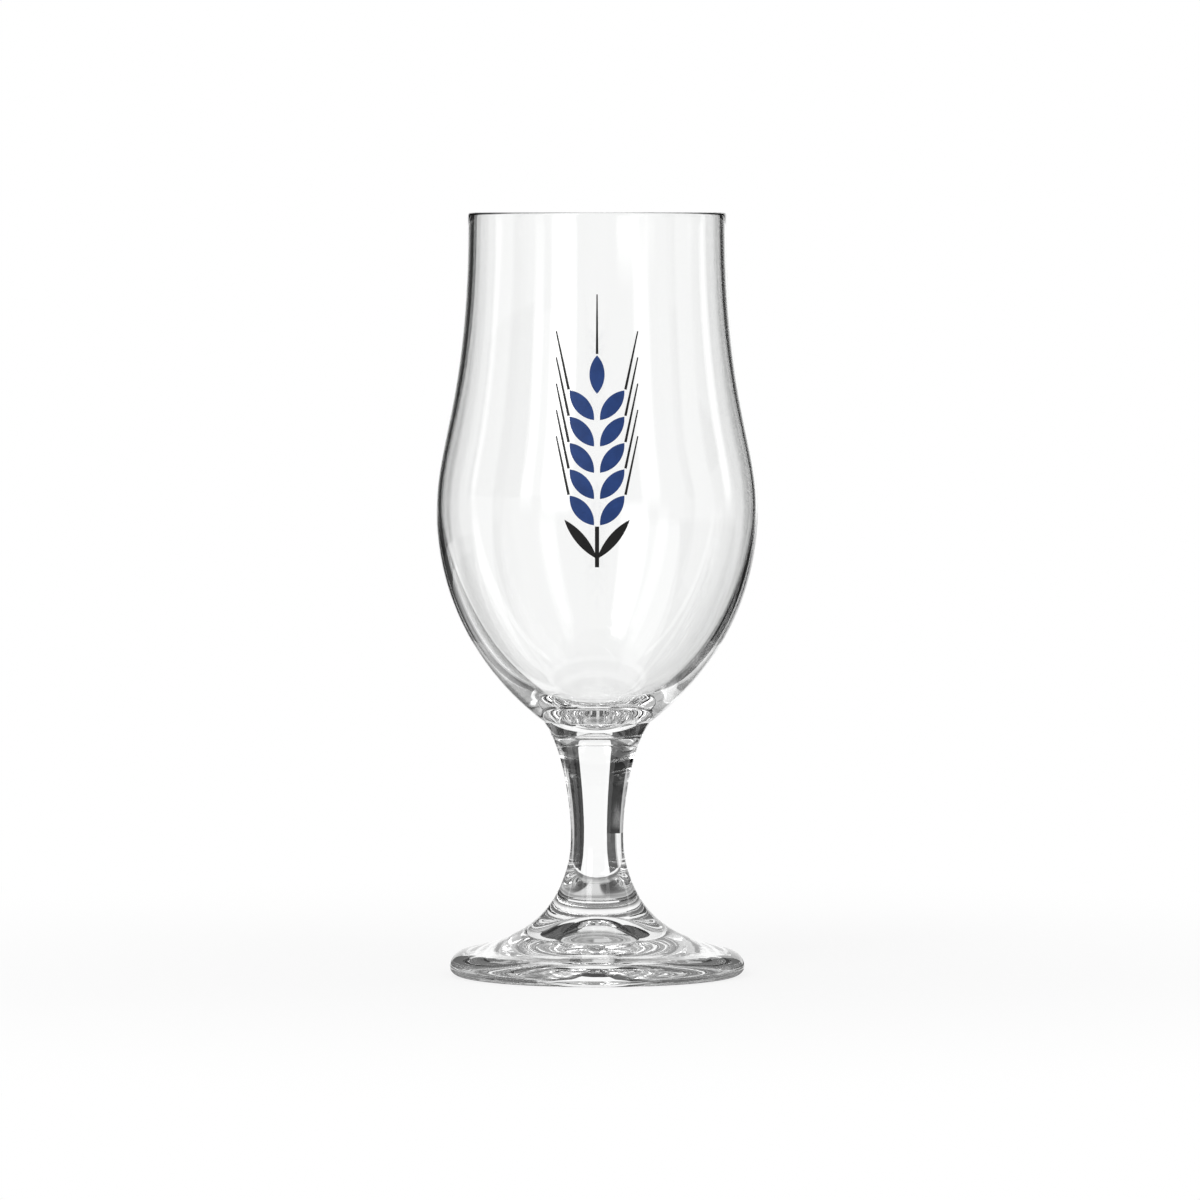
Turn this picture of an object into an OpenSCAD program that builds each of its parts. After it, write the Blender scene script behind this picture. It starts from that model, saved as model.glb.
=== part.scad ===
// Stemmed tulip beer glass: bowl, stem and foot are fused glass, and a barley ear is printed on the bowl's front.
// Millimetres, +Z up, origin on the table under the middle of the foot, print facing -Y.

/* [Bowl] */
// Height of the bowl from its weld ring to the lip
bowl_h = 122.8; // [112:0.2:140]
// Outside diameter at the lip
lip_d = 62.2; // [56:0.2:72]
// Wall thickness at the lip
lip_wall = 1.4; // [1:0.1:3]
// Outside diameter at the widest place
belly_d = 77.6; // [72:0.2:86]
// Wall thickness at the widest place
belly_wall = 1.1; // [0.9:0.1:3]
// Height of the widest place above the weld ring
belly_rise = 51.8; // [46:0.2:58]
// Pull of the curve straight down from the lip
lip_pull = 44; // [30:1:50]
// Pull of the curve straight up from the widest place
shoulder_pull = 16; // [8:1:24]
// Pull of the outside curve straight down from the widest place
belly_pull = 32; // [26:1:36]
// Slope of the outside at the weld ring, in degrees from level
bottom_slope = 38; // [30:1:46]
// Pull of the outside curve along that slope
bottom_pull = 6; // [3:0.5:10]
// Height of the cavity's floor above the weld ring, before its middle is drawn down
floor_t = 1.8; // [1.4:0.1:4]
// Pull of the cavity's curve straight down from the widest place
cavity_pull = 22.5; // [18:0.5:24]
// Pull of the cavity's curve level out from its floor
floor_pull = 21; // [16:0.5:22]
// How far the middle of the floor is drawn down as a dimple
dimple_h = 2.2; // [0:0.1:2.6]
// Diameter of that dimple
dimple_d = 24; // [20:0.5:28]

/* [Stem] */
// Length of the stem between its two weld rings
stem_h = 37.2; // [30:0.2:60]
// Diameter of the weld ring under the bowl
head_d = 25.8; // [22:0.2:30]
// How far the bowl's rounded bottom sits in the stem's head
head_dish = 1.8; // [1.2:0.1:2.6]
// Slope of the stem's side at its head, in degrees from level
head_slope = 52; // [45:1:70]
// Pull of the curve along that slope
head_pull = 7; // [4:0.5:9]
// Diameter at the narrowest place
waist_d = 12.7; // [10:0.1:15]
// Height of the narrowest place above the foot's weld ring
waist_rise = 10; // [7:0.2:14]
// Pull of the curve straight up from the narrowest place
waist_pull = 8; // [4:0.5:12]
// Drop of the mould's seam below the weld ring
seam_drop = 3.2; // [2:0.1:5]
// How far the seam stands proud
seam_t = 0.12; // [0.05:0.01:0.3]
// Width of the seam
seam_w = 0.5; // [0.3:0.1:1]

/* [Foot] */
// Height of the weld ring between foot and stem
foot_h = 24; // [20:0.2:28]
// Diameter of that weld ring
neck_d = 15.8; // [15:0.1:18]
// Slope of the foot's side at the weld ring, in degrees from level
neck_slope = 71; // [62:1:80]
// Pull of the curve along that slope, on the foot's side
neck_pull = 13; // [8:0.5:15]
// Pull of the curve along that slope, on the stem's side
ankle_pull = 4; // [2:0.5:5]
// Outside diameter of the foot
foot_d = 71.2; // [66:0.2:80]
// Height at which the foot is widest
edge_z = 2; // [1.4:0.1:2.6]
// Height of the shoulder where the edge starts to round over
shoulder_z = 5.9; // [5:0.1:7]
// Width of that rounding, from the shoulder to the widest place
shoulder_w = 3.6; // [2.6:0.1:5]
// Slope of the foot's top at the shoulder, in degrees from level
shoulder_slope = 13; // [8:1:18]
// Pull of the curve up the foot along that slope
flare_pull = 11; // [7:0.5:13]
// Outer diameter of the flat ring that the glass stands on
rest_d = 66.8; // [60:0.2:68]
// Width of that ring
rest_w = 3; // [1.5:0.1:5]
// Height of the hollow under the foot, at its middle
hollow_h = 4.5; // [2:0.1:7]
// How far the middle of the hollow is pushed up further
punt_h = 6; // [0:0.1:8]
// Diameter of that push-up
punt_d = 28; // [20:0.5:36]

/* [Print] */
// Height of the print's lower end above the bowl's weld ring
print_rise = 39; // [36:0.5:44]
// Thickness of the fired ink
ink_t = 0.1; // [0.06:0.01:0.2]
// Clear gap between the two inks
ink_gap = 0.4; // [0.2:0.1:0.8]
// Length of the stalk below the ear
stalk_l = 10; // [7:0.5:12]
// Width of the stalk
stalk_w = 1; // [0.6:0.1:1.4]
// Length of a leaf
leaf_l = 12; // [8:0.5:13]
// Width of a leaf
leaf_w = 2.4; // [1.6:0.1:3]
// Lean of a leaf from upright, in degrees
leaf_lean = 40; // [32:1:48]
// Height of the leaves' roots on the stalk
leaf_rise = 2; // [1:0.1:3]
// Rows of grains in the ear
grain_rows = 5; // [3:1:5]
// Height from one row to the next
grain_pitch = 6.2; // [5.8:0.1:6.6]
// Length of a grain
grain_l = 9; // [7:0.1:10]
// Width of a grain
grain_w = 3.6; // [2.4:0.1:3.8]
// Lean of the side grains from upright, in degrees
grain_lean = 40; // [38:1:46]
// Distance of the side grains' roots from the middle
grain_seat = 0.7; // [0.5:0.1:1.2]
// Length of an awn
awn_l = 14; // [8:0.5:18]
// Width of an awn at its root
awn_w = 0.6; // [0.4:0.1:0.9]
// Width of an awn at its tip
awn_tip_w = 0.3; // [0.2:0.1:0.4]
// Lean of the side awns from upright, in degrees
awn_lean = 12; // [8:1:18]

/* [Hidden] */
$fn = 180;

// Flats along each curve of an outline
curve_steps = 14;
// Flats along a small round edge
edge_steps = 6;

glass_colour = [0.9, 0.94, 0.94, 0.4];
blue_ink = [0.12, 0.23, 0.44];
black_ink = [0.1, 0.1, 0.1];

lip_r = lip_d / 2;
belly_r = belly_d / 2;
head_r = head_d / 2;
waist_r = waist_d / 2;
neck_r = neck_d / 2;
foot_r = foot_d / 2;
rest_r = rest_d / 2;
hollow_r = rest_r - rest_w;
dimple_r = dimple_d / 2;
punt_r = punt_d / 2;

head_z = foot_h + stem_h;
lip_z = head_z + bowl_h;
lip_round = lip_wall / 2;
belly_z = head_z + belly_rise;
floor_z = head_z + floor_t;
waist_z = foot_h + waist_rise;
seam_z = head_z - seam_drop;
print_z = head_z + print_rise;

// Places where curves meet, as [radius, height]
lip_out = [lip_r, lip_z - lip_round];
lip_in = [lip_r - lip_wall, lip_z - lip_round];
belly_out = [belly_r, belly_z];
belly_in = [belly_r - belly_wall, belly_z];
floor_mid = [0, floor_z];
head_ring = [head_r, head_z];
waist = [waist_r, waist_z];
neck_ring = [neck_r, foot_h];
shoulder = [foot_r - shoulder_w, shoulder_z];
edge = [foot_r, edge_z];
rest_out = [rest_r, 0];

// Direction at an angle from level, as [radius, height]
function along(angle) = [cos(angle), sin(angle)];

// Point at share t of the way along a cubic curve
function cubic(start, pull_a, pull_b, end, t) =
    pow(1 - t, 3) * start + 3 * t * pow(1 - t, 2) * pull_a + 3 * t * t * (1 - t) * pull_b + pow(t, 3) * end;

// Points along a cubic curve that leaves start by pull a and comes to end by pull b, without the end itself
function curve(start, pull_a, pull_b, end, steps = curve_steps) =
    [for (i = [0 : steps - 1]) cubic(start, start + pull_a, end + pull_b, end, i / steps)];

// Points on an arc about a middle point, without its last one
function arc(mid, r, from, to, steps = edge_steps) =
    [for (i = [0 : steps - 1]) mid + r * along(from + (to - from) * i / steps)];

function reversed(points) = [for (i = [len(points) - 1 : -1 : 0]) points[i]];

// Height of a smooth round bump at a distance from its middle, as a share of its full height
function bump_share(distance, radius) = pow(max(0, 1 - pow(distance / radius, 2)), 2);

// Outside of the bowl, from its weld ring up to the lip
bowl_side = concat(
    curve(head_ring, bottom_pull * along(bottom_slope), [0, -belly_pull], belly_out),
    curve(belly_out, [0, shoulder_pull], [0, -lip_pull], lip_out),
    [lip_out]
);

// Round of the lip, from outside to inside
lip_top = arc(lip_out - [lip_round, 0], lip_round, 0, 180);

// Inside of the bowl below the widest place, down to the middle of the cavity's floor, before its dimple
cup_side = concat(curve(belly_in, [0, -cavity_pull], [floor_pull, 0], floor_mid), [floor_mid]);

// Inside of the bowl, from the lip down to the middle of the dimple
cavity_side = concat(
    curve(lip_in, [0, -lip_pull], [0, shoulder_pull], belly_in),
    [for (p = cup_side) p - [0, dimple_h * bump_share(p[0], dimple_r)]]
);

// Rounded bottom of the bowl, which the stem's head fits, from the middle out to just inside the weld ring
weld_face = [
    for (i = [0 : edge_steps - 1])
        let (share = i / edge_steps) [head_r * share, head_z - head_dish * (1 - share * share)]
];

// Side of the stem from the weld ring under the bowl down to the mould's seam, and from there to the foot's weld
stem_curve = concat(
    curve(head_ring, -head_pull * along(head_slope), [0, waist_pull], waist),
    curve(waist, [0, -waist_pull / 2], ankle_pull * [-cos(neck_slope), sin(neck_slope)], neck_ring, edge_steps),
    [neck_ring]
);

// Radius of the stem at a height, between the curve's points
function stem_r(z) = lookup(z, [for (p = stem_curve) [p[1], p[0]]]);

// The mould's seam, a fine ridge round the stem
seam = [
    [stem_r(seam_z + seam_w / 2), seam_z + seam_w / 2],
    [stem_r(seam_z) + seam_t, seam_z],
    [stem_r(seam_z - seam_w / 2), seam_z - seam_w / 2]
];

stem_side = concat(
    [for (p = stem_curve) if (p[1] > seam[0][1]) p],
    seam,
    [for (p = stem_curve) if (p[1] < seam[2][1]) p]
);

// Top of the foot, from its weld ring out and over the edge to the ring that it stands on
foot_side = concat(
    curve(neck_ring, neck_pull * [cos(neck_slope), -sin(neck_slope)],
          flare_pull * [-cos(shoulder_slope), sin(shoulder_slope)], shoulder),
    curve(shoulder, shoulder_w / 2 * [cos(shoulder_slope), -sin(shoulder_slope)],
          [0, (shoulder_z - edge_z) / 2], edge, edge_steps),
    curve(edge, [0, -edge_z / 2], [(foot_r - rest_r) / 2, 0], rest_out, edge_steps),
    [rest_out]
);

// Hollow under the foot, from the ring that it stands on in to the middle
hollow_side = [
    for (i = [0 : curve_steps])
        let (share = i / curve_steps, r = hollow_r * (1 - share))
            [r, hollow_h * share * (2 - share) + punt_h * bump_share(r, punt_r)]
];

module bowl() {
    color(glass_colour)
        rotate_extrude()
            polygon(concat(bowl_side, lip_top, cavity_side, weld_face));
}

module stem() {
    color(glass_colour)
        rotate_extrude()
            polygon(concat(stem_side, [[0, foot_h]], weld_face));
}

module foot() {
    color(glass_colour)
        rotate_extrude()
            polygon(concat([[0, foot_h]], foot_side, hollow_side));
}

// Film of ink all over the bowl's outside
module ink_film() {
    rotate_extrude()
        polygon(concat(bowl_side, reversed([for (p = bowl_side) p + [ink_t, 0]])));
}

// A flat motif, drawn upright from the print's lower end, as ink on the bowl's front
module printed() {
    intersection() {
        ink_film();
        translate([0, 0, print_z])
            rotate([90, 0, 0])
                linear_extrude(belly_r + 2 * ink_t)
                    children();
    }
}

// Lens with pointed ends, standing on the origin
module pointed_lens(length, width) {
    r = (length * length + width * width) / (4 * width);
    intersection() {
        translate([r - width / 2, length / 2])
            circle(r);
        translate([width / 2 - r, length / 2])
            circle(r);
    }
}

// Puts a shape at the root of each grain: side rows to left and right, and one on top
module at_grains() {
    for (row = [0 : grain_rows - 1], side = [-1, 1])
        translate([side * grain_seat, stalk_l + row * grain_pitch])
            rotate(-side * grain_lean)
                children();
    translate([0, stalk_l + grain_rows * grain_pitch])
        children();
}

// Bristle that grows on from a grain's tip
module awn() {
    polygon([[-awn_w / 2, 0], [awn_w / 2, 0], [awn_tip_w / 2, awn_l], [-awn_tip_w / 2, awn_l]]);
}

module grain_print() {
    color(blue_ink)
        printed()
            at_grains()
                pointed_lens(grain_l, grain_w);
}

// Root of the awn on a side grain, as [across, up] from the grain's root
awn_root = (grain_l + ink_gap) * [sin(grain_lean), cos(grain_lean)];

module stalk_print() {
    color(black_ink)
        printed() {
            translate([-stalk_w / 2, 0])
                square([stalk_w, stalk_l - ink_gap]);
            for (side = [-1, 1])
                translate([0, leaf_rise])
                    rotate(-side * leaf_lean)
                        pointed_lens(leaf_l, leaf_w);
            for (row = [0 : grain_rows - 1], side = [-1, 1])
                translate([side * (grain_seat + awn_root[0]), stalk_l + row * grain_pitch + awn_root[1]])
                    rotate(-side * awn_lean)
                        awn();
            translate([0, stalk_l + grain_rows * grain_pitch + grain_l + ink_gap])
                awn();
        }
}

bowl();
stem();
foot();
grain_print();
stalk_print();
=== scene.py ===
import math

import bmesh
import bpy
from bpy.props import FloatProperty, FloatVectorProperty, IntProperty, PointerProperty
from mathutils import Matrix, Vector


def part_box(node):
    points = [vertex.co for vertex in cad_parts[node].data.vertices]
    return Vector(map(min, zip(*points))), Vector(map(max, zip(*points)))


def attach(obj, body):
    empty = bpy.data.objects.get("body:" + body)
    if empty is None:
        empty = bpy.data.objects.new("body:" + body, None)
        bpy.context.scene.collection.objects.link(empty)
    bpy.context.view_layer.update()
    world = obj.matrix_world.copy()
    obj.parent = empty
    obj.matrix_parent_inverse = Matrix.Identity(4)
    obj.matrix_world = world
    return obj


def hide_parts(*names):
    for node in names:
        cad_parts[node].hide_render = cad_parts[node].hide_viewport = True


bl_info = {
    "name": "Tulip beer glass",
    "version": (1, 0, 0),
    "blender": (4, 5, 0),
    "location": "View3D > Sidebar > Tulip Glass",
    "description": "Turns the glass, prints its barley ear and sets up the studio round it",
    "category": "Object",
}

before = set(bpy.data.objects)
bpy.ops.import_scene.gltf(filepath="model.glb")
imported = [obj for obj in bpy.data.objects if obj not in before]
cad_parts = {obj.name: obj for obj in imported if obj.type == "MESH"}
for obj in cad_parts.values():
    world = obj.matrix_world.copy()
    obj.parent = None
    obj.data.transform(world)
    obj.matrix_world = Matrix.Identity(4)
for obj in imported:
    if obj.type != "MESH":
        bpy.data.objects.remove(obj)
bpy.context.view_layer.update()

MM = 0.001
BODY = "root"
BOWL_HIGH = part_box("bowl")[1]
STEM_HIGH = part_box("stem")[1]
FOOT_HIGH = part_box("foot")[1]
PRINT_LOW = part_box("stalk_print")[0]

# Points nearer than this are one point, and an edge that turns by more than this stays sharp
MERGE_DISTANCE = 0.5e-6
SHARP_ANGLE = math.radians(40)
# Weld faces lie within this many weld gaps of the true weld
WELD_REACH = 2
# The size that gives a grid one unit wide
UNIT_GRID = 0.5
# Noise is centred on 0 and reaches this far to either side
NOISE_REACH = 0.5
# Colour sockets of a Mix node
MIX_SHARE, MIX_FIRST, MIX_SECOND, MIX_RESULT = 0, 6, 7, 2
WHITE = (1, 1, 1, 1)


def length(name, description, default):
    """A size that a user may change, in metres."""
    return FloatProperty(name=name, description=description, default=default, unit="LENGTH", precision=5)


def angle(name, description, degrees):
    """An angle that a user may change, given here in degrees."""
    return FloatProperty(name=name, description=description, default=math.radians(degrees), unit="ROTATION")


def factor(name, description, default):
    """A share between 0 and 1 that a user may change."""
    return FloatProperty(name=name, description=description, default=default, min=0, max=1, subtype="FACTOR")


def number(name, description, default):
    """A plain number that a user may change."""
    return FloatProperty(name=name, description=description, default=default, precision=4)


def count(name, description, default):
    """A whole number that a user may change."""
    return IntProperty(name=name, description=description, default=default, min=1)


def colour(name, description, default):
    """A linear colour that a user may change."""
    return FloatVectorProperty(name=name, description=description, default=default, size=3, subtype="COLOR")


class BowlSizes(bpy.types.PropertyGroup):
    """Sizes of the blown bowl."""

    base_z: length("Weld height", "Height of the weld ring under the bowl", STEM_HIGH.z)
    lip_z: length("Lip height", "Height of the lip", BOWL_HIGH.z)
    lip_r: length("Lip radius", "Outside radius at the lip", 31.1 * MM)
    lip_wall: length("Lip wall", "Wall thickness at the lip", 1.4 * MM)
    belly_r: length("Belly radius", "Outside radius at the widest place", BOWL_HIGH.x)
    belly_wall: length("Belly wall", "Wall thickness at the widest place", 1.1 * MM)
    belly_rise: length("Belly rise", "Height of the widest place above the weld ring", 51.8 * MM)
    lip_pull: length("Lip pull", "Pull of the curve straight down from the lip", 44 * MM)
    shoulder_pull: length("Shoulder pull", "Pull of the curve straight up from the widest place", 16 * MM)
    belly_pull: length("Belly pull", "Pull of the outside curve down from the widest place", 32 * MM)
    bottom_slope: angle("Bottom slope", "Slope of the outside at the weld ring, from level", 38)
    bottom_pull: length("Bottom pull", "Pull of the outside curve along that slope", 6 * MM)
    floor_t: length("Floor thickness", "Glass between the weld ring and the cavity's floor", 1.8 * MM)
    cavity_pull: length("Cavity pull", "Pull of the cavity's curve down from the widest place", 22.5 * MM)
    floor_pull: length("Floor pull", "Pull of the cavity's curve level out from its floor", 21 * MM)
    dimple_h: length("Dimple depth", "How far the middle of the cavity's floor is drawn down", 2.2 * MM)
    dimple_r: length("Dimple radius", "Radius of that dimple", 12 * MM)


class StemSizes(bpy.types.PropertyGroup):
    """Sizes of the pressed stem."""

    head_r: length("Head radius", "Radius of the weld ring under the bowl", STEM_HIGH.x)
    head_dish: length("Head dish", "How far the bowl's bottom sits in the stem's head", 1.8 * MM)
    head_slope: angle("Head slope", "Slope of the side at the head, from level", 52)
    head_pull: length("Head pull", "Pull of the curve along that slope", 7 * MM)
    waist_r: length("Waist radius", "Radius at the narrowest place", 6.35 * MM)
    waist_rise: length("Waist rise", "Height of the narrowest place above the foot's weld", 10 * MM)
    waist_pull: length("Waist pull", "Pull of the curve straight up from the narrowest place", 8 * MM)
    ankle_pull: length("Ankle pull", "Pull of the curve up from the foot's weld ring", 4 * MM)
    seam_drop: length("Seam drop", "Drop of the mould's seam below the upper weld ring", 3.2 * MM)
    seam_t: length("Seam height", "How far the mould's seam stands proud", 0.12 * MM)
    seam_w: length("Seam width", "Width of the mould's seam", 0.5 * MM)


class FootSizes(bpy.types.PropertyGroup):
    """Sizes of the pressed foot."""

    top_z: length("Foot height", "Height of the weld ring above the foot", FOOT_HIGH.z)
    neck_r: length("Neck radius", "Radius of the weld ring above the foot", 7.9 * MM)
    neck_slope: angle("Neck slope", "Slope of the side at that weld ring, from level", 71)
    neck_pull: length("Neck pull", "Pull of the curve down from that weld ring", 13 * MM)
    edge_r: length("Foot radius", "Outside radius of the foot", FOOT_HIGH.x)
    edge_z: length("Edge height", "Height at which the foot is widest", 2 * MM)
    shoulder_z: length("Shoulder height", "Height at which the edge starts to round over", 5.9 * MM)
    shoulder_w: length("Shoulder width", "Width of that rounding", 3.6 * MM)
    shoulder_slope: angle("Shoulder slope", "Slope of the foot's top there, from level", 13)
    flare_pull: length("Flare pull", "Pull of the curve up the foot along that slope", 11 * MM)
    rest_r: length("Rest radius", "Outer radius of the ring that the glass stands on", 33.4 * MM)
    rest_w: length("Rest width", "Width of that ring", 3 * MM)
    hollow_h: length("Hollow height", "Height of the hollow under the foot", 4.5 * MM)
    punt_h: length("Punt height", "How far the middle of the hollow is pushed up further", 6 * MM)
    punt_r: length("Punt radius", "Radius of that push-up", 14 * MM)


class PrintSizes(bpy.types.PropertyGroup):
    """Sizes of the barley ear printed on the bowl's front."""

    low_z: length("Print height", "Height of the print's lower end", PRINT_LOW.z)
    ink_t: length("Ink thickness", "How far the fired ink stands out of the glass", 0.09 * MM)
    ink_sink: length("Ink sink", "How far the fired ink is fused into the glass", 0.02 * MM)
    ink_gap: length("Ink gap", "Clear gap between the two inks", 0.4 * MM)
    stalk_l: length("Stalk length", "Length of the stalk below the ear", 10 * MM)
    stalk_w: length("Stalk width", "Width of the stalk", 1 * MM)
    leaf_l: length("Leaf length", "Length of a leaf", 12 * MM)
    leaf_w: length("Leaf width", "Width of a leaf", 2.4 * MM)
    leaf_lean: angle("Leaf lean", "Lean of a leaf from upright", 40)
    leaf_rise: length("Leaf rise", "Height of the leaves' roots on the stalk", 2 * MM)
    grain_rows: count("Grain rows", "Rows of grains in the ear", 5)
    grain_pitch: length("Grain pitch", "Height from one row to the next", 6.2 * MM)
    grain_l: length("Grain length", "Length of a grain", 9 * MM)
    grain_w: length("Grain width", "Width of a grain", 3.6 * MM)
    grain_lean: angle("Grain lean", "Lean of the side grains from upright", 40)
    grain_seat: length("Grain seat", "Distance of the side grains' roots from the middle", 0.7 * MM)
    awn_l: length("Awn length", "Length of an awn", 14 * MM)
    awn_w: length("Awn width", "Width of an awn at its root", 0.6 * MM)
    awn_tip_w: length("Awn tip width", "Width of an awn at its tip", 0.3 * MM)
    awn_lean: angle("Awn lean", "Lean of the side awns from upright", 12)


class Fineness(bpy.types.PropertyGroup):
    """How finely the pieces are divided."""

    blade_across: count("Blade steps across", "Flats across each blade of the print", 6)
    blade_along: count("Blade steps along", "Flats along each blade of the print", 24)
    curve_steps: count("Curve steps", "Flats along each curve of an outline", 48)
    edge_steps: count("Edge steps", "Flats along a small round", 16)
    turn_steps: count("Turn steps", "Flats round the axis", 192)


class GlassLook(bpy.types.PropertyGroup):
    """Finish of the glass."""

    tint: colour("Tint", "Colour of light that passes through the surface", (0.997, 1.0, 0.998))
    ior: number("Refraction", "Index of refraction of soda-lime glass", 1.52)
    weld_gap: length("Weld gap", "Hair's breadth between fused faces, which light passes unbent", 0.03 * MM)
    weld_ior: number("Weld refraction", "Index of refraction of the fused faces", 1.0)
    blown_waves: number("Blown waves", "Faint waves in a metre of the blown bowl", 60)
    blown_wave_h: length("Blown wave height", "Height of those waves", 0.006 * MM)
    pressed_waves: number("Pressed waves", "Waves in a metre of the pressed stem and foot", 160)
    pressed_wave_h: length("Pressed wave height", "Height of those waves", 0.03 * MM)
    chill_marks: number("Chill marks", "Fine chill marks of the mould in a metre", 900)
    chill_mark_h: length("Chill mark height", "Height of those marks", 0.002 * MM)
    chill_patches: number("Chill patches", "Patches of chill marks in a metre", 90)
    patch_edge: number("Patch edge", "Height on the patches' waves where the marks start", 0.02)
    patch_full: number("Patch middle", "Height on the patches' waves where the marks are full", 0.2)


class InkLook(bpy.types.PropertyGroup):
    """Finish of the fired inks."""

    blue: colour("Blue ink", "Colour of the grains", (0.013, 0.042, 0.162))
    black: colour("Black ink", "Colour of the stalk, leaves and awns", (0.01, 0.01, 0.01))
    clouds: number("Clouds", "Soft clouds in a metre of ink", 400)
    specks: number("Specks", "Fine specks in a metre of ink", 6000)
    speck_h: length("Speck height", "Height of the specks' relief", 0.003 * MM)
    shade_spread: factor("Shade spread", "How far clouds and specks shift the shade, as a share of it", 0.2)
    roughness: factor("Roughness", "Roughness of the satin finish", 0.45)
    rough_spread: factor("Roughness spread", "How far the clouds shift the roughness", 0.2)
    gloss: factor("Gloss", "Level of the finish's mirror-like share", 0.2)


class FloorLook(bpy.types.PropertyGroup):
    """Looks of the floor, and of the pool of painted shade under the foot, with painted rings and a streak
    of light, that is seen through the foot.
    """

    floor_r: length("Floor radius", "Radius of the floor", 12)
    paleness: factor("Paleness", "Share of the light that the matt floor gives back", 0.85)
    shadow: factor("Shadow", "Share of the glass's shadow that the camera sees", 0.2)
    shadow_r: length("Shadow radius", "Distance from the axis up to which the shadow is full", 40 * MM)
    shadow_end: length("Shadow end", "Distance from the axis at which the shadow is gone", 300 * MM)
    # The pool is a painted shadow under the foot, darker at its rim and core, which only the glass shows
    painted_shade_r: length("Pool radius", "Radius of the dim pool", 40 * MM)
    painted_shade_soft: length("Pool edge", "Width of the pool's soft edge", 2 * MM)
    painted_shade_tone: factor("Pool tone", "Brightness of the pool", 0.38)
    rim_r: length("Rim radius", "Radius at which the pool's rim starts", 26 * MM)
    rim_soft: length("Rim edge", "Width over which the rim sets in", 4 * MM)
    painted_rim_shade: factor("Rim drop", "How much darker the rim is", 0.2)
    core_r: length("Core radius", "Radius of the pool's core", 12 * MM)
    core_soft: length("Core edge", "Width over which the core fades out", 8 * MM)
    painted_core_shade: factor("Core drop", "How much darker the core is", 0.3)
    # Rings and a streak of painted light on the pool
    ring_pitch: length("Ring pitch", "Distance from one ring of light to the next", 7 * MM)
    ring_strays: number("Ring strays", "Strays of the rings in a metre", 110)
    ring_stray_w: length("Ring stray width", "How wide the rings stray", 14 * MM)
    ring_edge: number("Ring edge", "Height on the rings' waves, from -1 to 1, where the light starts", -0.2)
    painted_ring_light: factor("Ring lift", "How much brighter the rings are", 0.25)
    streak_x: length("Streak side step", "How far the core's streak of light is right of the axis", 1.5 * MM)
    streak_w: length("Streak width", "Width of that streak", 6 * MM)
    streak_soft: length("Streak edge", "Width of that streak's soft edges", 1 * MM)
    painted_streak_light: factor("Streak lift", "How much brighter that streak is", 0.6)


class StudioSettings(bpy.types.PropertyGroup):
    """Camera, surround and light."""

    camera_distance: length("Camera distance", "Distance from the lens to the glass's axis", 2.0)
    view_width: length("View width", "Width of the picture at the glass's axis", 289.2 * MM)
    view_x: length("View side step", "How far the picture's middle is right of the axis", 0.7 * MM)
    view_z: length("View height", "Height on the axis at the picture's middle", 90.6 * MM)
    view_depth: length("View depth", "Distance to the farthest thing that the camera sees", 50)
    backdrop: number("Backdrop", "Strength of the white surround, seen directly or in the glass", 1.0)
    fill_light: number("Fill light", "Strength of the light that the surround casts on matt things", 0.7)
    light_bounces: count("Light bounces", "How often light may turn inside the glass", 32)


class TulipGlass(bpy.types.PropertyGroup):
    """All the settings of the glass and its studio."""

    bowl: PointerProperty(type=BowlSizes)
    stem: PointerProperty(type=StemSizes)
    foot: PointerProperty(type=FootSizes)
    print: PointerProperty(type=PrintSizes)
    fineness: PointerProperty(type=Fineness)
    look: PointerProperty(type=GlassLook)
    ink: PointerProperty(type=InkLook)
    floor: PointerProperty(type=FloorLook)
    studio: PointerProperty(type=StudioSettings)


def settings():
    """The scene's own copies of all the property groups."""
    return bpy.context.scene.tulip_glass


def shares(steps):
    """Even steps from 0 to 1, with both ends."""
    return [i / steps for i in range(steps + 1)]


def along(slope, distance):
    """A step of that length at an angle from level, as (radius, height)."""
    return Vector((math.cos(slope), math.sin(slope))) * distance


def curve(start, pull_a, pull_b, end, steps):
    """Points along a cubic curve that leaves start by pull_a and reaches end by pull_b, without the end."""
    start, end = Vector(start), Vector(end)
    a, b = start + Vector(pull_a), end + Vector(pull_b)
    return [
        start * (1 - t) ** 3 + a * (3 * t * (1 - t) ** 2) + b * (3 * t * t * (1 - t)) + end * t**3
        for t in shares(steps)[:-1]
    ]


def bump_share(distance, radius):
    """Height of a smooth round bump at a distance from its middle, as a share of its full height."""
    return max(0, 1 - (distance / radius) ** 2) ** 2


def radius_at(side, z):
    """Radius at a height, on an outline that rises all the way."""
    above = next(i for i, place in enumerate(side) if place.y >= z)
    low, high = side[above - 1], side[above]
    return low.x + (high.x - low.x) * (z - low.y) / (high.y - low.y)


def weld_face(glass):
    """The bowl's rounded bottom and the stem's dished head, from the middle out, without the weld ring."""
    stem, base_z = glass.stem, glass.bowl.base_z
    steps = shares(glass.fineness.edge_steps)[:-1]
    return [Vector((stem.head_r * s, base_z - stem.head_dish * (1 - s * s))) for s in steps]


def bowl_side(glass):
    """Outside of the bowl, from its weld ring up to the lip."""
    bowl, steps = glass.bowl, glass.fineness.curve_steps
    ring = (glass.stem.head_r, bowl.base_z)
    belly = (bowl.belly_r, bowl.base_z + bowl.belly_rise)
    lip = Vector((bowl.lip_r, bowl.lip_z - bowl.lip_wall / 2))
    lower = curve(ring, along(bowl.bottom_slope, bowl.bottom_pull), (0, -bowl.belly_pull), belly, steps)
    upper = curve(belly, (0, bowl.shoulder_pull), (0, -bowl.lip_pull), lip, steps)
    return lower + upper + [lip]


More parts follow.
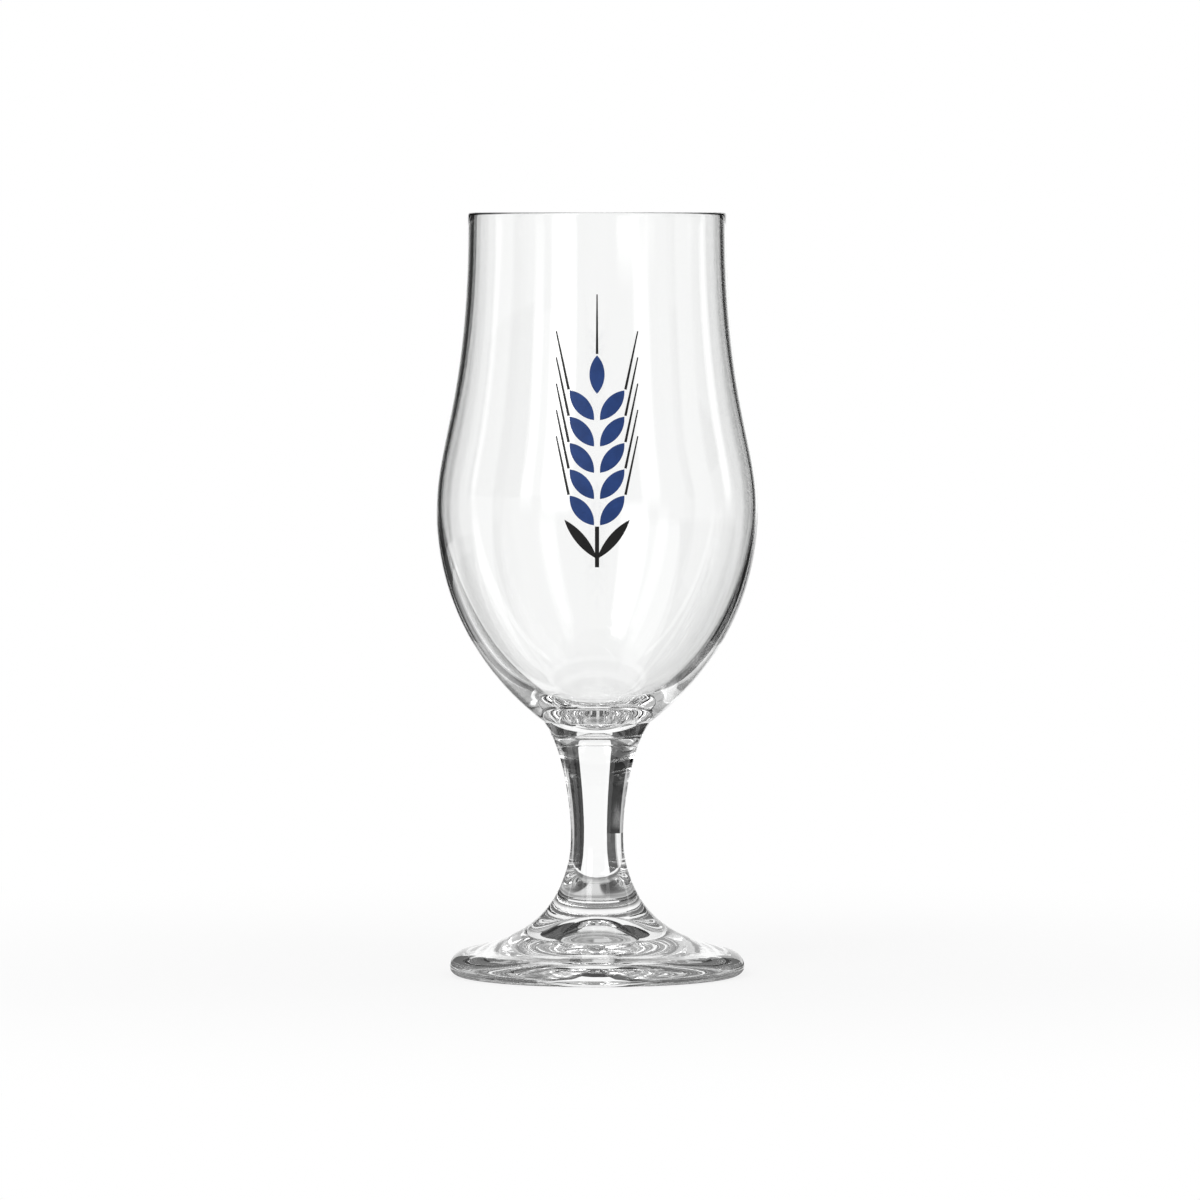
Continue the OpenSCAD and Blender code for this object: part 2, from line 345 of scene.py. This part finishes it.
def bowl_outline(glass):
    """The bowl's half section, from the middle of its weld face to the middle of the cavity's floor."""
    bowl, steps = glass.bowl, glass.fineness.curve_steps
    lip_round = bowl.lip_wall / 2
    lip_mid = Vector((bowl.lip_r - lip_round, bowl.lip_z - lip_round))
    lip_in = lip_mid - Vector((lip_round, 0))
    belly_in = (bowl.belly_r - bowl.belly_wall, bowl.base_z + bowl.belly_rise)
    floor = Vector((0, bowl.base_z + bowl.floor_t))
    lip = [lip_mid + along(math.pi * s, lip_round) for s in shares(glass.fineness.edge_steps)[1:-1]]
    upper = curve(lip_in, (0, -bowl.lip_pull), (0, bowl.shoulder_pull), belly_in, steps)
    lower = curve(belly_in, (0, -bowl.cavity_pull), (bowl.floor_pull, 0), floor, steps) + [floor]
    for place in lower:
        place.y -= bump_share(place.x, bowl.dimple_r) * bowl.dimple_h
    return weld_face(glass) + bowl_side(glass) + lip + upper + lower


def with_seam(side, stem, seam_z, steps):
    """Puts the mould's seam, a fine rounded ridge, into a side that falls all the way."""
    half = stem.seam_w / 2
    heights = [seam_z + half * (1 - 2 * s) for s in shares(steps)]
    rising = side[::-1]
    ridge = [
        Vector((radius_at(rising, z) + stem.seam_t * bump_share(z - seam_z, half), z)) for z in heights
    ]
    return [p for p in side if p.y > heights[0]] + ridge + [p for p in side if p.y < heights[-1]]


def stem_outline(glass):
    """The stem's half section, from the middle of its head to the middle of its weld with the foot."""
    stem, foot, fineness = glass.stem, glass.foot, glass.fineness
    base_z, gap = glass.bowl.base_z, glass.look.weld_gap
    ring = (stem.head_r, base_z)
    waist = (stem.waist_r, foot.top_z + stem.waist_rise)
    neck = Vector((foot.neck_r, foot.top_z))
    head_pull = along(stem.head_slope, -stem.head_pull)
    ankle_pull = along(-foot.neck_slope, -stem.ankle_pull)
    upper = curve(ring, head_pull, (0, stem.waist_pull), waist, fineness.curve_steps)
    lower = curve(waist, (0, -stem.waist_pull / 2), ankle_pull, neck, fineness.edge_steps)
    side = with_seam(upper, stem, base_z - stem.seam_drop, fineness.edge_steps) + lower
    head = [place - Vector((0, gap)) for place in weld_face(glass)]
    base = Vector((0, foot.top_z + gap))
    return head + side + [neck, base + Vector((foot.neck_r - gap, 0)), base]


def foot_outline(glass):
    """The foot's half section, from the middle of its weld to the middle of the hollow underneath."""
    foot, fineness = glass.foot, glass.fineness
    neck = (foot.neck_r, foot.top_z)
    shoulder = (foot.edge_r - foot.shoulder_w, foot.shoulder_z)
    edge = (foot.edge_r, foot.edge_z)
    rest = Vector((foot.rest_r, 0))
    hollow_r = foot.rest_r - foot.rest_w
    neck_pull = along(-foot.neck_slope, foot.neck_pull)
    flare_pull = along(-foot.shoulder_slope, -foot.flare_pull)
    shoulder_pull = along(-foot.shoulder_slope, foot.shoulder_w / 2)
    edge_pull = (0, (foot.shoulder_z - foot.edge_z) / 2)
    rest_pull = ((foot.edge_r - foot.rest_r) / 2, 0)
    flare = curve(neck, neck_pull, flare_pull, shoulder, fineness.curve_steps)
    round_top = curve(shoulder, shoulder_pull, edge_pull, edge, fineness.edge_steps)
    round_low = curve(edge, (0, -foot.edge_z / 2), rest_pull, rest, fineness.edge_steps)
    steps = shares(fineness.curve_steps)
    hollow = [Vector((hollow_r * (1 - s), foot.hollow_h * s * (2 - s))) for s in steps]
    for place in hollow:
        place.y += bump_share(place.x, foot.punt_r) * foot.punt_h
    return [Vector((0, foot.top_z))] + flare + round_top + round_low + [rest] + hollow


def new_object(name, shape):
    """An object at the origin from a bmesh, which is used up."""
    mesh = bpy.data.meshes.new(name)
    shape.to_mesh(mesh)
    shape.free()
    thing = bpy.data.objects.new(name, mesh)
    bpy.context.scene.collection.objects.link(thing)
    return thing


def draw_line(shape, places):
    """Adds a line through places to a bmesh, and returns its points and edges."""
    points = [shape.verts.new(place) for place in places]
    return points + [shape.edges.new(pair) for pair in zip(points, points[1:])]


def merge_doubles(shape):
    """Joins points that meet, and drops edges and faces that have no size."""
    bmesh.ops.remove_doubles(shape, verts=shape.verts, dist=MERGE_DISTANCE)
    bmesh.ops.dissolve_degenerate(shape, edges=shape.edges, dist=MERGE_DISTANCE)


def turned(name, outline, welds, steps):
    """A closed solid turned from a half section, with its weld faces in the second material slot."""
    shape = bmesh.new()
    section = draw_line(shape, [(place.x, 0, place.y) for place in outline])
    bmesh.ops.spin(shape, geom=section, axis=(0, 0, 1), cent=(0, 0, 0), angle=math.tau, steps=steps,
                   use_merge=True)
    merge_doubles(shape)
    bmesh.ops.recalc_face_normals(shape, faces=shape.faces)
    for face in shape.faces:
        face.smooth = True
        face.material_index = int(any(weld(face.calc_center_median()) for weld in welds))
    for edge in shape.edges:
        edge.smooth = edge.calc_face_angle(0) < SHARP_ANGLE
    return new_object(name, shape)


def lens(blade_l, blade_w):
    """Half width of a blade with two pointed ends, at a share of its length."""
    radius = (blade_l**2 + blade_w**2) / (4 * blade_w)
    return lambda share: math.sqrt(radius**2 - ((share - 0.5) * blade_l) ** 2) - radius + blade_w / 2


def taper(root_w, tip_w):
    """Half width of a blade that narrows evenly, at a share of its length."""
    return lambda share: (root_w + (tip_w - root_w) * share) / 2


def blade(shape, fineness, across, up, lean, blade_l, half_width):
    """Adds a flat blade to a drawing, from its root and its lean to the right."""
    grid = bmesh.ops.create_grid(shape, x_segments=fineness.blade_across, y_segments=fineness.blade_along,
                                 size=UNIT_GRID)
    for vert in grid["verts"]:
        share = vert.co.y + UNIT_GRID
        vert.co = (2 * vert.co.x * half_width(share), share * blade_l, 0)
    place = Matrix.Translation((across, up, 0)) @ Matrix.Rotation(-lean, 4, "Z")
    bmesh.ops.transform(shape, matrix=place, verts=grid["verts"])


def grain_roots(sizes):
    """Roots and leans of the grains: rows to left and right, and one on top."""
    rows = [sizes.stalk_l + row * sizes.grain_pitch for row in range(sizes.grain_rows)]
    sides = [(side * sizes.grain_seat, up, side * sizes.grain_lean) for up in rows for side in (-1, 1)]
    return sides + [(0, sizes.stalk_l + sizes.grain_rows * sizes.grain_pitch, 0)]


def printed(name, shape, glass):
    """Lays a flat drawing on the bowl's front as a film of ink."""
    sizes, side = glass.print, bowl_side(glass)
    merge_doubles(shape)
    for vert in shape.verts:
        across, z = vert.co.x, sizes.low_z + vert.co.y
        radius = radius_at(side, z) + sizes.ink_t
        vert.co = (across, -math.sqrt(radius**2 - across**2), z)
    bmesh.ops.solidify(shape, geom=shape.faces[:], thickness=sizes.ink_t + sizes.ink_sink)
    bmesh.ops.recalc_face_normals(shape, faces=shape.faces)
    return new_object(name, shape)


class Value:
    """A shader socket that takes part in Python expressions, each of which adds a Math node."""

    def __init__(self, nodes, socket):
        self.nodes = nodes
        self.socket = socket

    def math(self, operation, a, b=0.0):
        """One Math node on two values."""
        return self.nodes.add("ShaderNodeMath", {"operation": operation}, {0: a, 1: b})

    def __add__(self, other):
        return self.math("ADD", self, other)

    def __sub__(self, other):
        return self.math("SUBTRACT", self, other)

    def __rsub__(self, other):
        return self.math("SUBTRACT", other, self)

    def __mul__(self, other):
        return self.math("MULTIPLY", self, other)

    __radd__ = __add__
    __rmul__ = __mul__

    def sine(self):
        """Sine of an angle in radians."""
        return self.math("SINE", self)

    def either(self, other):
        """The larger of two values."""
        return self.math("MAXIMUM", self, other)

    def ramp(self, start, end):
        """Goes smoothly from 0 at one value to 1 at another, which may be the lower one."""
        low, high = sorted((start, end))
        rise = self.nodes.add("ShaderNodeMapRange", {"interpolation_type": "SMOOTHSTEP"},
                              {"Value": self, "From Min": low, "From Max": high})
        return rise if start < end else 1 - rise


class Nodes:
    """A node tree that is written node by node."""

    def __init__(self, owner):
        owner.use_nodes = True
        self.tree = owner.node_tree
        self.tree.nodes.clear()

    def add(self, kind, options=None, inputs=None, output=0):
        """Adds a node with its settings and its sockets' values or links, and returns one of its outputs."""
        node = self.tree.nodes.new(kind)
        for key, value in (options or {}).items():
            setattr(node, key, value)
        for key, value in (inputs or {}).items():
            if isinstance(value, Value):
                self.tree.links.new(value.socket, node.inputs[key])
            else:
                node.inputs[key].default_value = value
        return Value(self, node.outputs[output]) if node.outputs else node


def new_material(name):
    """A material with an empty node tree, and that tree."""
    material = bpy.data.materials.new(name)
    return material, Nodes(material)


def finished(material, nodes, shader):
    """Makes a shader the surface of a material."""
    nodes.add("ShaderNodeOutputMaterial", inputs={"Surface": shader})
    return material


def surface_place(nodes):
    """The place on a surface, in metres from the origin."""
    return nodes.add("ShaderNodeTexCoord", output="Object")


def part_of(nodes, place, axis):
    """One of the numbers of a place."""
    return nodes.add("ShaderNodeSeparateXYZ", inputs={0: place}, output=axis)


def noise(nodes, place, waves):
    """Soft random waves, with so many in a metre."""
    return nodes.add("ShaderNodeTexNoise", inputs={"Vector": place, "Scale": waves}) - NOISE_REACH


def bump(nodes, relief):
    """Normal of a surface whose relief is given in metres."""
    return nodes.add("ShaderNodeBump", inputs={"Strength": 1.0, "Distance": 1.0, "Height": relief})


def mixed(nodes, share, first, second):
    """Goes from a first colour to a second one as a share grows from 0 to 1."""
    sockets = {MIX_SHARE: share, MIX_FIRST: (*first, 1), MIX_SECOND: (*second, 1)}
    return nodes.add("ShaderNodeMix", {"data_type": "RGBA"}, sockets, output=MIX_RESULT)


def blend(nodes, share, first, second):
    """Goes from a first shader to a second one as a share grows from 0 to 1."""
    return nodes.add("ShaderNodeMixShader", inputs={0: share, 1: first, 2: second})


def shine(nodes, strength):
    """White light that comes from the surface itself."""
    return nodes.add("ShaderNodeEmission", inputs={"Color": WHITE, "Strength": strength})


def ray(nodes, kind):
    """1 for light paths of one kind, otherwise 0."""
    return nodes.add("ShaderNodeLightPath", output=f"Is {kind} Ray")


def through_glass(nodes):
    """1 for light paths that come off or through glass, otherwise 0."""
    return ray(nodes, "Glossy").either(ray(nodes, "Transmission"))


def clear_shader(nodes, tint, ior, **sockets):
    """Polished and clear, with a tint and an index of refraction."""
    return nodes.add("ShaderNodeBsdfPrincipled", inputs={
        "Base Color": (*tint, 1),
        "Roughness": 0.0,
        "IOR": ior,
        "Transmission Weight": 1.0,
        **sockets,
    })


def blown_glass(name, look):
    """Clear blown glass with the faint long waves that blowing leaves."""
    material, nodes = new_material(name)
    relief = noise(nodes, surface_place(nodes), look.blown_waves) * look.blown_wave_h
    return finished(material, nodes, clear_shader(nodes, look.tint, look.ior, Normal=bump(nodes, relief)))


def pressed_glass(name, look):
    """Clear pressed glass with waves and patches of fine chill marks from the mould."""
    material, nodes = new_material(name)
    place = surface_place(nodes)
    patches = noise(nodes, place, look.chill_patches).ramp(look.patch_edge, look.patch_full)
    marks = noise(nodes, place, look.chill_marks) * patches * look.chill_mark_h
    relief = noise(nodes, place, look.pressed_waves) * look.pressed_wave_h + marks
    return finished(material, nodes, clear_shader(nodes, look.tint, look.ior, Normal=bump(nodes, relief)))


def fused_glass(look):
    """Glass fused to glass, where light passes as if nothing were there."""
    material, nodes = new_material("fused_weld")
    return finished(material, nodes, clear_shader(nodes, WHITE[:3], look.weld_ior))


def fired_ink(name, ink, pigment):
    """Fired screen-print ink: satin, slightly uneven and finely speckled."""
    material, nodes = new_material(name)
    place = surface_place(nodes)
    cloud, speck = noise(nodes, place, ink.clouds), noise(nodes, place, ink.specks)
    dark, light = (
        [channel * shade for channel in pigment] for shade in (1 - ink.shade_spread, 1 + ink.shade_spread)
    )
    uneven = (cloud + speck).ramp(-NOISE_REACH, NOISE_REACH)
    return finished(material, nodes, nodes.add("ShaderNodeBsdfPrincipled", inputs={
        "Base Color": mixed(nodes, uneven, dark, light),
        "Roughness": ink.roughness + ink.rough_spread * cloud,
        "Specular IOR Level": ink.gloss,
        "Normal": bump(nodes, speck * ink.speck_h),
    }))


def dress(piece, node, materials):
    """Lets a piece stand for its CAD node, on the glass's one body."""
    for material in materials:
        piece.data.materials.append(material)
    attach(piece, BODY)
    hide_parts(node)


def lower_weld(glass):
    """Tells whether a place is on the flat weld between stem and foot."""
    return lambda place: abs(place.z - glass.foot.top_z) < WELD_REACH * glass.look.weld_gap


def upper_weld(glass):
    """Tells whether a place is on the rounded weld between bowl and stem."""
    base_z, stem = glass.bowl.base_z, glass.stem

    def on_weld(place):
        share = math.hypot(place.x, place.y) / stem.head_r
        drop = stem.head_dish * (1 - share * share)
        return share < 1 and abs(place.z - base_z + drop) < WELD_REACH * glass.look.weld_gap
    return on_weld


class TULIP_OT_bowl(bpy.types.Operator):
    """Turn the bowl"""

    bl_idname = "tulip.bowl"
    bl_label = "Bowl"

    def execute(self, context):
        glass = settings()
        piece = turned("glass_bowl", bowl_outline(glass), [upper_weld(glass)], glass.fineness.turn_steps)
        materials = [blown_glass("bowl_glass", glass.look), fused_glass(glass.look)]
        dress(piece, "bowl", materials)
        return {"FINISHED"}


class TULIP_OT_stem(bpy.types.Operator):
    """Turn the stem"""

    bl_idname = "tulip.stem"
    bl_label = "Stem"

    def execute(self, context):
        glass = settings()
        welds = [upper_weld(glass), lower_weld(glass)]
        piece = turned("glass_stem", stem_outline(glass), welds, glass.fineness.turn_steps)
        materials = [pressed_glass("stem_glass", glass.look), fused_glass(glass.look)]
        dress(piece, "stem", materials)
        return {"FINISHED"}


class TULIP_OT_foot(bpy.types.Operator):
    """Turn the foot"""

    bl_idname = "tulip.foot"
    bl_label = "Foot"

    def execute(self, context):
        glass = settings()
        piece = turned("glass_foot", foot_outline(glass), [lower_weld(glass)], glass.fineness.turn_steps)
        materials = [pressed_glass("foot_glass", glass.look), fused_glass(glass.look)]
        dress(piece, "foot", materials)
        return {"FINISHED"}


class TULIP_OT_grains(bpy.types.Operator):
    """Print the grains of the barley ear"""

    bl_idname = "tulip.grains"
    bl_label = "Grain print"

    def execute(self, context):
        glass = settings()
        sizes, shape = glass.print, bmesh.new()
        grain = lens(sizes.grain_l, sizes.grain_w)
        for across, up, lean in grain_roots(sizes):
            blade(shape, glass.fineness, across, up, lean, sizes.grain_l, grain)
        piece = printed("print_grains", shape, glass)
        dress(piece, "grain_print", [fired_ink("blue_ink", glass.ink, glass.ink.blue)])
        return {"FINISHED"}


class TULIP_OT_stalk(bpy.types.Operator):
    """Print the stalk, the leaves and the awns of the barley ear"""

    bl_idname = "tulip.stalk"
    bl_label = "Stalk print"

    def execute(self, context):
        glass = settings()
        sizes, fineness, shape = glass.print, glass.fineness, bmesh.new()
        stalk, stalk_l = taper(sizes.stalk_w, sizes.stalk_w), sizes.stalk_l - sizes.ink_gap
        blade(shape, fineness, 0, 0, 0, stalk_l, stalk)
        leaf = lens(sizes.leaf_l, sizes.leaf_w)
        for lean in (-sizes.leaf_lean, sizes.leaf_lean):
            blade(shape, fineness, 0, sizes.leaf_rise, lean, sizes.leaf_l, leaf)
        awn, reach = taper(sizes.awn_w, sizes.awn_tip_w), sizes.grain_l + sizes.ink_gap
        for across, up, lean in grain_roots(sizes):
            awn_lean = math.copysign(sizes.awn_lean, lean) if lean else 0
            across, up = across + reach * math.sin(lean), up + reach * math.cos(lean)
            blade(shape, fineness, across, up, awn_lean, sizes.awn_l, awn)
        piece = printed("print_stalk", shape, glass)
        dress(piece, "stalk_print", [fired_ink("black_ink", glass.ink, glass.ink.black)])
        return {"FINISHED"}


# Flats of a bent card and of the floor's edge
CARD_STEPS = 24
FLOOR_STEPS = 64
# Wall cards, in metres: distance from the axis, heights where tiers end, and the ceiling's open middle
ROOM = 1.2
LOW, MIDDLE, HIGH, TOP = 0.45, 0.75, 1.2, 2.4
CEILING_HOLE = 0.01
# Floor cards, in metres: height above the floor, and distances from the axis where they start or end
LIFT = 0.0004
NEAR, HALFWAY, FAR = 0.045, 0.5, 1.0
# Brightness of the cards
SHADES = {"black": 0.03, "dark": 0.1, "side": 0.35, "front": 0.55}
# Tall lights: distance from the axis and height of the top in metres, and soft edges as shares of the size
BOX_DISTANCE = 1.1
BOX_TOP = 2.0
BOX_SOFT_ACROSS, BOX_SOFT_UP = 0.25, 0.15
UPRIGHT = Matrix.Rotation(math.radians(90), 4, "X")


def wall(low, high):
    """Profile of a wall card between two heights."""
    return [(ROOM, low), (ROOM, high)]


def ground(near, far):
    """Profile of a card that lies on the floor between two distances from the axis."""
    return [(near, LIFT), (far, LIFT)]


# Cards bent round the glass: name, first and last compass direction, shade, and profile as (radius, height)
BENT_CARDS = (
    ("low_back_right", 21, 50, "black", wall(0, LOW)),
    ("low_side_right", 50, 62, "front", wall(0, LOW)),
    ("low_right", 62, 110, "side", wall(0, MIDDLE)),
    ("low_front", 110, 250, "front", wall(0, MIDDLE)),
    ("low_left", 250, 260, "side", wall(0, MIDDLE)),
    ("low_side_left", 280, 310, "front", wall(0, LOW)),
    ("low_back_left", 310, 345, "black", wall(0, LOW)),
    ("mid_back_right", 21, 62, "dark", wall(LOW, MIDDLE)),
    ("mid_back_left", 280, 345, "dark", wall(LOW, MIDDLE)),
    ("top_back_right", 21, 62, "dark", wall(MIDDLE, HIGH)),
    ("top_back_left", 280, 345, "dark", wall(MIDDLE, HIGH)),
    ("high_back", -80, 62, "black", wall(HIGH, TOP)),
    ("high_front", 62, 280, "front", wall(MIDDLE, TOP)),
    ("ceiling", 0, 360, "dark", [(ROOM, TOP), (CEILING_HOLE, TOP)]),
    ("floor_back_right", 21, 50, "black", ground(NEAR, ROOM)),
    ("floor_side_right", 50, 62, "front", ground(NEAR, ROOM)),
    ("floor_right", 62, 119, "black", ground(NEAR, ROOM)),
    ("floor_front", 151, 252, "front", ground(NEAR, ROOM)),
    ("floor_left_front", 252, 260, "black", ground(NEAR, ROOM)),
    ("floor_left", -80, -58, "dark", ground(NEAR, HALFWAY)),
    ("floor_left_fade", -58, -54, "front", ground(NEAR, HALFWAY)),
    ("floor_back_fade", -36, -32, "front", ground(NEAR, HALFWAY)),
    ("floor_back_left", -32, -15, "dark", ground(NEAR, HALFWAY)),
    ("floor_side_left", -80, -50, "front", ground(HALFWAY, ROOM)),
    ("floor_far_left", -50, -15, "black", ground(HALFWAY, ROOM)),
    ("floor_far_front", 119, 151, "front", ground(FAR, ROOM)),
)
# Tall lights: name, compass direction, spread in degrees, height of the lower end, strength
SOFTBOXES = (
    ("box_left", -151, 26, 0, 4.5),
    ("box_far_left", -128, 12, 0, 1.6),
    ("box_right", 141, 18, 0.05, 2.0),
    ("box_side_left", -80, 6, 0, 2.0),
    ("box_side_right", 72, 10, 0, 2.0),
)


def compass(azimuth):
    """Turn to a compass direction in degrees, 0 being behind the glass and 90 on its right."""
    return Matrix.Rotation(-math.radians(azimuth), 4, "Z")


def stage_mesh(name, shape, material):
    """An object of the stage, from a bmesh."""
    thing = new_object(name, shape)
    thing.data.materials.append(material)
    return thing


def even_card(name, shade):
    """A card that shines evenly."""
    material, nodes = new_material(name)
    return finished(material, nodes, shine(nodes, shade))


def soft_card(name, strength):
    """A card that shines and fades out along its edges."""
    material, nodes = new_material(name)
    place = nodes.add("ShaderNodeTexCoord", output="UV")
    across, up = part_of(nodes, place, "X"), part_of(nodes, place, "Y")
    mask = across.ramp(0, BOX_SOFT_ACROSS) * across.ramp(1, 1 - BOX_SOFT_ACROSS)
    mask = mask * up.ramp(0, BOX_SOFT_UP) * up.ramp(1, 1 - BOX_SOFT_UP)
    clear = nodes.add("ShaderNodeBsdfTransparent")
    return finished(material, nodes, blend(nodes, mask, clear, shine(nodes, strength)))


def softbox(name, azimuth, spread, low, strength):
    """A tall light that faces the glass from a compass direction."""
    shape = bmesh.new()
    shape.loops.layers.uv.new("UVMap")
    bmesh.ops.create_grid(shape, x_segments=1, y_segments=1, size=UNIT_GRID, calc_uvs=True)
    middle = Matrix.Translation((0, BOX_DISTANCE, (low + BOX_TOP) / 2))
    width = 2 * BOX_DISTANCE * math.tan(math.radians(spread / 2))
    place = compass(azimuth) @ middle @ UPRIGHT @ Matrix.Diagonal((width, BOX_TOP - low, 1, 1))
    bmesh.ops.transform(shape, matrix=place, verts=shape.verts)
    thing = stage_mesh(name, shape, soft_card(name, strength))
    thing.visible_camera = thing.visible_shadow = False


def bent_card(name, first, last, profile, material):
    """A card bent round the glass between two compass directions, which only the glass shows."""
    shape = bmesh.new()
    line = draw_line(shape, [(0, radius, height) for radius, height in profile])
    sweep = math.radians(last - first)
    bmesh.ops.spin(shape, geom=line, axis=(0, 0, -1), cent=(0, 0, 0), angle=sweep, steps=CARD_STEPS)
    bmesh.ops.transform(shape, matrix=compass(first), verts=shape.verts)
    thing = stage_mesh(name, shape, material)
    thing.visible_camera = thing.visible_diffuse = thing.visible_shadow = False


def painted_shade_tone(nodes, place, away, floor):
    """Brightness of the pool of painted shade under the foot, with its painted darker rim and core, its
    painted rings of light and its painted streak of light.
    """
    rim = away.ramp(floor.rim_r, floor.rim_r + floor.rim_soft)
    core = away.ramp(floor.core_r + floor.core_soft, floor.core_r)
    stray = noise(nodes, place, floor.ring_strays) * floor.ring_stray_w
    rings = ((away + stray) * (math.tau / floor.ring_pitch)).sine().ramp(floor.ring_edge, 1)
    side = part_of(nodes, place, "X")
    left, right = floor.streak_x - floor.streak_w / 2, floor.streak_x + floor.streak_w / 2
    streak = side.ramp(left, left + floor.streak_soft) * side.ramp(right, right - floor.streak_soft)
    # Painted shade and painted light: the rim and core are made darker, the rings and the streak brighter
    tone = floor.painted_shade_tone + floor.painted_ring_light * rings * (1 - rim) * (1 - core)
    return tone - floor.painted_rim_shade * rim - floor.painted_core_shade * core + floor.painted_streak_light * core * streak


def pale_floor(floor):
    """Floor that is white to the eye, keeps a soft shadow, and has a pool of painted shade, with painted
    rings and a streak of light, that the foot shows.
    """
    material, nodes = new_material("pale_floor")
    through, place = through_glass(nodes), surface_place(nodes)
    away = nodes.add("ShaderNodeVectorMath", {"operation": "LENGTH"}, {0: place}, output="Value")
    # Painted shade: rays through the glass see the floor under the foot dimmed, with painted rings and a
    # streak of light
    pool = through * away.ramp(floor.painted_shade_r, floor.painted_shade_r - floor.painted_shade_soft)
    dim = pool * (1 - painted_shade_tone(nodes, place, away, floor))
    glow = blend(nodes, dim, shine(nodes, 1.0), shine(nodes, 0.0))
    matt = nodes.add("ShaderNodeBsdfDiffuse", inputs={"Color": (*[floor.paleness] * 3, 1)})
    lit = 1 - floor.shadow * away.ramp(floor.shadow_end, floor.shadow_r)
    return finished(material, nodes, blend(nodes, ray(nodes, "Camera") * lit + through, matt, glow))


def white_surround(studio):
    """A world that is white to the eye and in the glass, and lights matt things less."""
    world = bpy.data.worlds.new("studio_world")
    nodes = Nodes(world)
    seen = ray(nodes, "Camera") + through_glass(nodes)
    light, white = (
        nodes.add("ShaderNodeBackground", inputs={"Color": WHITE, "Strength": strength})
        for strength in (studio.fill_light, studio.backdrop)
    )
    nodes.add("ShaderNodeOutputWorld", inputs={"Surface": blend(nodes, seen, light, white)})
    return world


def level_camera(studio):
    """A camera as high as the lip, in front of the glass."""
    camera = bpy.data.cameras.new("camera")
    camera.lens = camera.sensor_width * studio.camera_distance / studio.view_width
    camera.clip_end = studio.view_depth
    thing = bpy.data.objects.new("camera", camera)
    bpy.context.scene.collection.objects.link(thing)
    thing.location = (studio.view_x, -studio.camera_distance, BOWL_HIGH.z)
    aim = Vector((studio.view_x, 0, studio.view_z)) - thing.location
    thing.rotation_euler = aim.to_track_quat("-Z", "Y").to_euler()
    return thing


class TULIP_OT_stage(bpy.types.Operator):
    """Set up the floor, the lights and the camera"""

    bl_idname = "tulip.stage"
    bl_label = "Stage"

    def execute(self, context):
        scene, glass, shape = context.scene, settings(), bmesh.new()
        bmesh.ops.create_circle(shape, cap_ends=True, segments=FLOOR_STEPS, radius=glass.floor.floor_r)
        stage_mesh("floor", shape, pale_floor(glass.floor))
        shades = {name: even_card(f"{name}_card", shade) for name, shade in SHADES.items()}
        for name, first, last, shade, profile in BENT_CARDS:
            bent_card(name, first, last, profile, shades[shade])
        for box in SOFTBOXES:
            softbox(*box)
        scene.world = white_surround(glass.studio)
        scene.camera = level_camera(glass.studio)
        scene.view_settings.view_transform = "Standard"
        paths = scene.cycles
        paths.max_bounces = paths.transmission_bounces = paths.glossy_bounces = glass.studio.light_bounces
        return {"FINISHED"}


class TULIP_PT_sidebar(bpy.types.Panel):
    """Lists the steps that make the glass."""

    bl_label = "Tulip Glass"
    bl_space_type = "VIEW_3D"
    bl_region_type = "UI"
    bl_category = "Tulip Glass"

    def draw(self, context):
        for step in STEPS:
            self.layout.operator(step.bl_idname)


STEPS = (TULIP_OT_bowl, TULIP_OT_stem, TULIP_OT_foot, TULIP_OT_grains, TULIP_OT_stalk, TULIP_OT_stage)
SIZES = (BowlSizes, StemSizes, FootSizes, PrintSizes, Fineness)
LOOKS = (GlassLook, InkLook, FloorLook, StudioSettings)
CLASSES = (*SIZES, *LOOKS, TulipGlass, *STEPS, TULIP_PT_sidebar)


def register():
    for cls in CLASSES:
        bpy.utils.register_class(cls)
    bpy.types.Scene.tulip_glass = PointerProperty(type=TulipGlass)


def unregister():
    del bpy.types.Scene.tulip_glass
    for cls in reversed(CLASSES):
        bpy.utils.unregister_class(cls)


def main():
    register()
    bpy.ops.tulip.bowl()
    bpy.ops.tulip.stem()
    bpy.ops.tulip.foot()
    bpy.ops.tulip.grains()
    bpy.ops.tulip.stalk()
    bpy.ops.tulip.stage()


if __name__ == "__main__":
    main()
